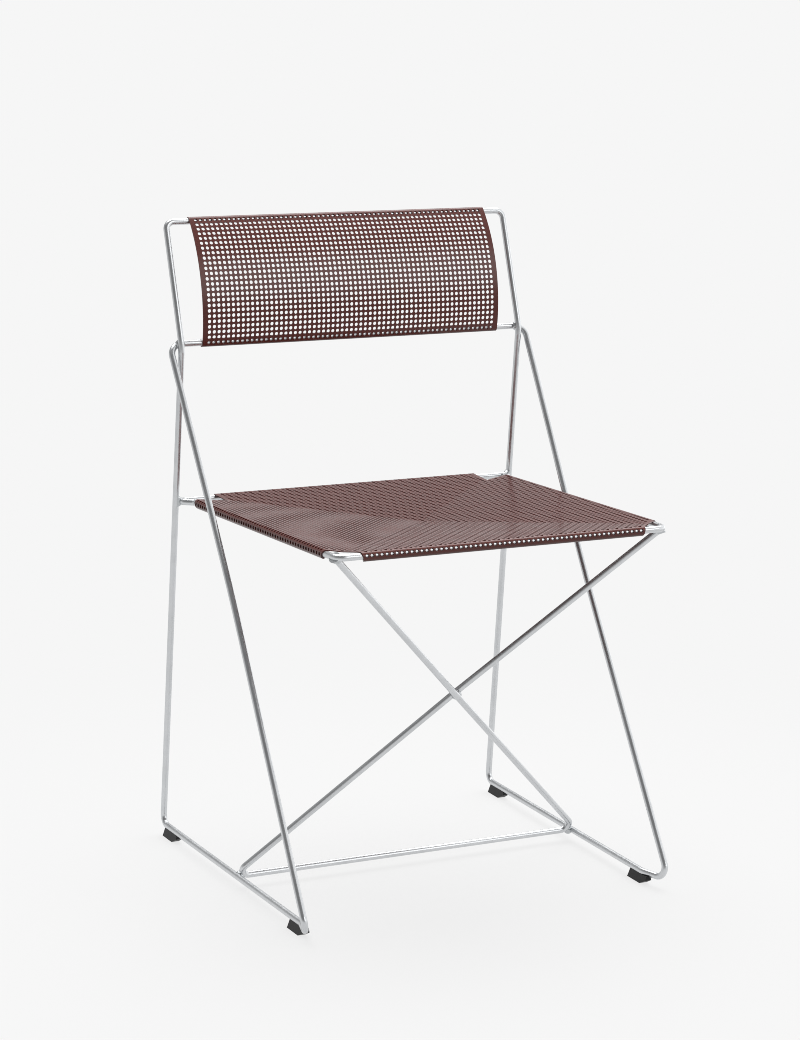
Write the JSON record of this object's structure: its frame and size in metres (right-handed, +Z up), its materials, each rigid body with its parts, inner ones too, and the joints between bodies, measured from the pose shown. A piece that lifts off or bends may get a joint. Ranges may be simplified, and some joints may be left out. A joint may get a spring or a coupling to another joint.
{
  "type": "stacking chair",
  "caption": "Stackable side chair of bent galvanised steel rod with a dished, perforated sheet seat and a bulged, perforated sheet back.",
  "frame": {"origin": "on the floor, under the middle of the chair's box", "axes": "+Z up, the sitter faces -Y, +X is on the right seen from the front and on the sitter's left"},
  "size_m": [0.4952, 0.5116, 0.7953],
  "materials": {
    "galvanised_rod": "bright galvanised, satin",
    "coated_sheet": "brown-red powder coat on perforated sheet",
    "glide": "moulded"
  },
  "bodies": {
    "root": {"frame_left": "galvanised_rod", "frame_right": "galvanised_rod", "seat_ring": "galvanised_rod", "cross_brace": "galvanised_rod", "weld_back_left": "galvanised_rod", "weld_back_right": "galvanised_rod", "weld_seat_left": "galvanised_rod", "weld_seat_right": "galvanised_rod", "weld_brace_top_left": "galvanised_rod", "weld_brace_top_right": "galvanised_rod", "weld_brace_foot_left": "galvanised_rod", "weld_brace_foot_right": "galvanised_rod", "weld_brace_cross": "galvanised_rod", "weld_loop_top": "galvanised_rod", "weld_loop_bar": "galvanised_rod", "weld_ring": "galvanised_rod", "seat_panel": "coated_sheet", "back_panel": "coated_sheet", "glide_front_left": "glide", "glide_front_right": "glide", "glide_rear_left": "glide", "glide_rear_right": "glide"}
  },
  "joints": []
}
